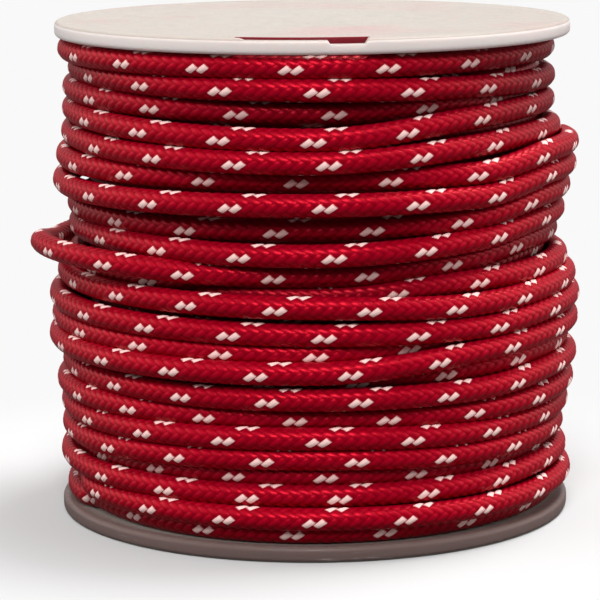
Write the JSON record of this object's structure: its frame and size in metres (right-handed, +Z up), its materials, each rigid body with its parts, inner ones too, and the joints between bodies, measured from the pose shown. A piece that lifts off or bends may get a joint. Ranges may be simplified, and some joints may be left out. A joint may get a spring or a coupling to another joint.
{
  "type": "roll of paracord on flanged spool",
  "caption": "Unevenly wound roll of thin braided cord, red with white flecks, on a milky plastic spool with round flanges and a cord-catch slit.",
  "frame": {"origin": "middle of the spool's flat underside", "axes": "+Z up along the spool's axis; -Y is the front, where the cord catch is; the slack loop stands out towards -X"},
  "size_m": [0.0945, 0.0917, 0.0846],
  "materials": {
    "cord": "tight sixteen-strand nylon braid, red with two white strands side by side",
    "spool_plastic": "translucent milky plastic, lightly scuffed"
  },
  "bodies": {
    "root": {"spool": "spool_plastic", "winding": "cord"}
  },
  "joints": []
}
